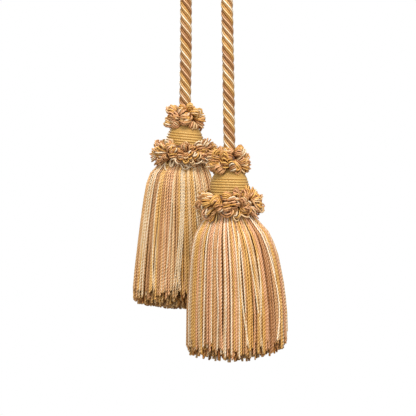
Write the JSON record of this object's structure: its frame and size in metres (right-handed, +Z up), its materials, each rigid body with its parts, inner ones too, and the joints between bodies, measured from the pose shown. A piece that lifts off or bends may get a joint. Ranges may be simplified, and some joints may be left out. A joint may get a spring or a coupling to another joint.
{
  "type": "double chair tassel",
  "caption": "Twisted cord looped at its middle to hang, ending in full tassels: wound heads between ruches of looped yarn, over bell skirts of cut threads.",
  "frame": {"origin": "underside of the cord at the top of its loop, where it bears on what it hangs from", "axes": "+Z up; +X from the left tassel to the right one as seen from the front; -Y faces the viewer, on the side of the lower, nearer tassel"},
  "size_m": [0.0897, 0.0882, 0.2387],
  "materials": {
    "cord_yarn": "soft sheen, twisted rayon strands in cream, gold, peach and tan",
    "ruche_yarn": "soft sheen, looped rayon yarn in tan, gold and cream",
    "head_yarn": "soft sheen, gold rayon yarn wound in close turns",
    "skirt_yarn": "soft sheen, twisted rayon threads in gold, tan, peach and cream"
  },
  "bodies": {
    "root": {"cord": "cord_yarn", "left_upper_ruche": "ruche_yarn", "left_head": "head_yarn", "left_lower_ruche": "ruche_yarn", "left_skirt": "skirt_yarn", "right_upper_ruche": "ruche_yarn", "right_head": "head_yarn", "right_lower_ruche": "ruche_yarn", "right_skirt": "skirt_yarn"}
  },
  "joints": []
}
